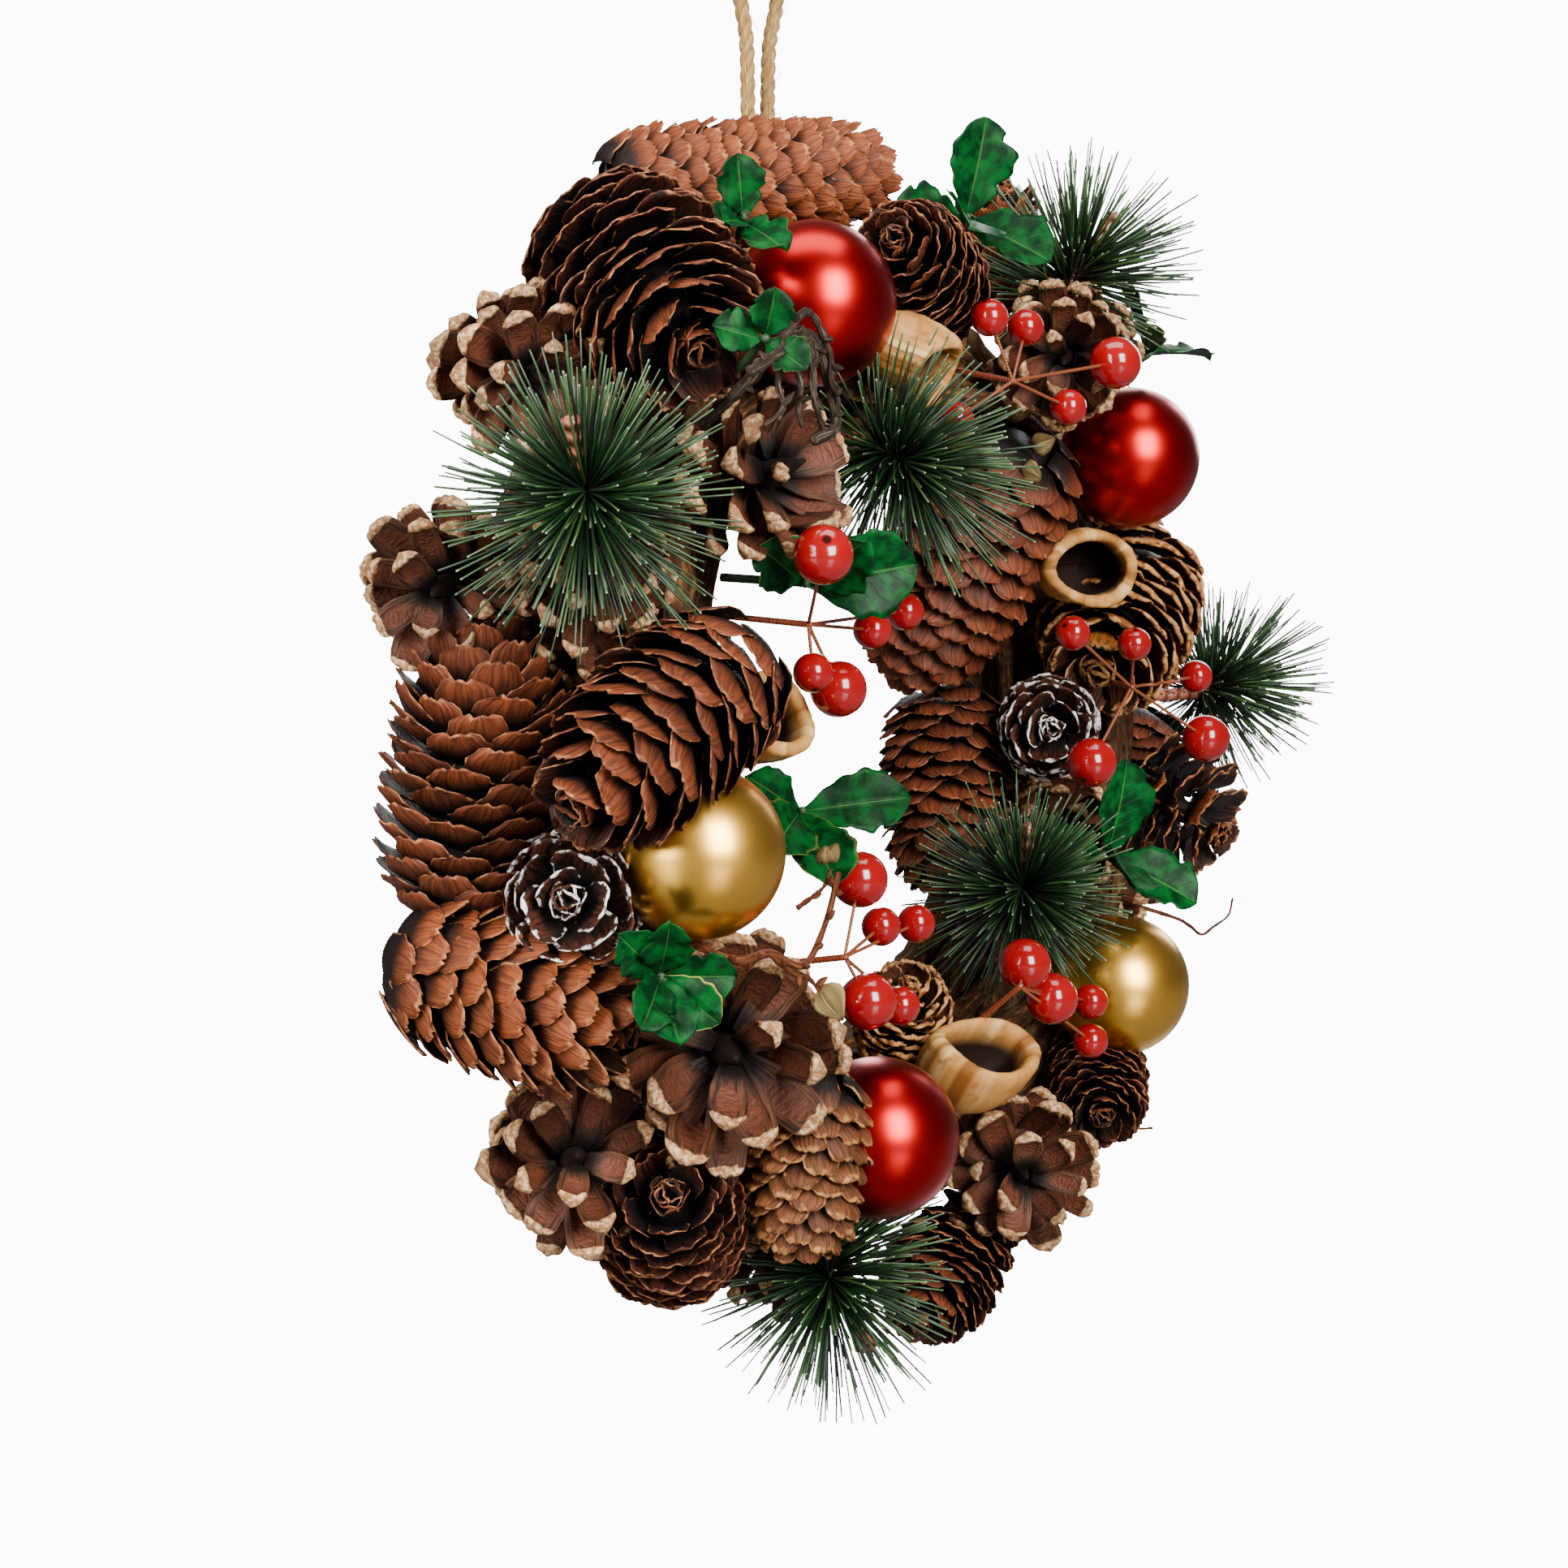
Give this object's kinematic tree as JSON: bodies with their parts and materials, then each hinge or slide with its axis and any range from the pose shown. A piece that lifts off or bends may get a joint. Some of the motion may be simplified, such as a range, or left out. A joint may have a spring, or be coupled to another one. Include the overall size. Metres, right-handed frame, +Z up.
{
  "type": "pinecone wreath",
  "caption": "Wreath of cones, baubles, berries, leaves and needle sprays on a vine ring, hung by a jute loop.",
  "frame": {"origin": "top of the jute loop, where the wreath hangs", "axes": "+Z up, the dressed front faces -Y, +X to the right seen from the front"},
  "size_m": [0.3691, 0.1145, 0.3647],
  "materials": {
    "vine": "dry twisted vine, matt",
    "jute": "two-ply twisted jute, matt",
    "ball_red": "deep red metallic lacquer, satin",
    "ball_gold": "champagne gold metallic lacquer, satin",
    "husk": "dried seed husk, matt",
    "cone_rust": "dried spruce cone, reddish brown, matt",
    "cone_umber": "dried cone with thin dark scales, matt",
    "cone_frosted": "dried cone with white paint on its rims",
    "cone_bark": "open pine cone, woody, matt",
    "cone_tan": "dried cone with small tan scales, matt",
    "berry": "lacquered red berries on copper-red wire",
    "twig": "bare twig with bark, matt",
    "leaf": "deep green satin leaf with pale veins",
    "needle": "dark green needles, satin"
  },
  "bodies": {
    "root": {"vine_ring": "vine", "jute_loop": "jute", "ball_red_top": "ball_red", "ball_red_right": "ball_red", "ball_gold_left": "ball_gold", "ball_gold_right": "ball_gold", "ball_red_low": "ball_red", "pod_top": "husk", "pod_right": "husk", "pod_left": "husk", "pod_low": "husk", "cone_left_front": "cone_umber", "cone_left_upright": "cone_umber", "cone_top_left": "cone_umber", "cone_top_long": "cone_rust", "cone_left_lying": "cone_rust", "cone_frosted_left": "cone_frosted", "cone_low_big": "cone_bark", "cone_low_golden": "cone_rust", "cone_low_dark": "cone_umber", "cone_low_left": "cone_bark", "cone_upper_left": "cone_bark", "cone_outer_left": "cone_bark", "cone_upper_front": "cone_bark", "cone_right_inner": "cone_umber", "cone_right_low": "cone_umber", "cone_right_tan": "cone_tan", "cone_frosted_right": "cone_frosted", "cone_right_open": "cone_bark", "cone_top_small": "cone_umber", "cone_top_back": "cone_rust", "cone_top_open": "cone_bark", "cone_low_open": "cone_bark", "cone_low_right": "cone_rust", "cone_bottom": "cone_rust", "cone_inner_small": "cone_tan", "cone_outer_upper": "cone_rust", "cone_outer_right": "cone_umber", "cone_outer_low": "cone_bark", "berries_top": "berry", "berries_left": "berry", "berries_right": "berry", "berries_low": "berry", "berries_low_right": "berry", "twig_gnarled": "twig", "twig_budded": "twig", "leaves_top_left": "leaf", "leaves_top_right": "leaf", "leaves_ball_side": "leaf", "leaves_upper_right": "leaf", "leaves_inner_left": "leaf", "leaves_inner_low": "leaf", "leaves_low_left": "leaf", "leaves_right_low": "leaf", "needles_left": "needle", "needles_inner": "needle", "needles_top_right": "needle", "needles_right": "needle", "needles_bottom": "needle", "needles_outer_right": "needle"}
  },
  "joints": []
}
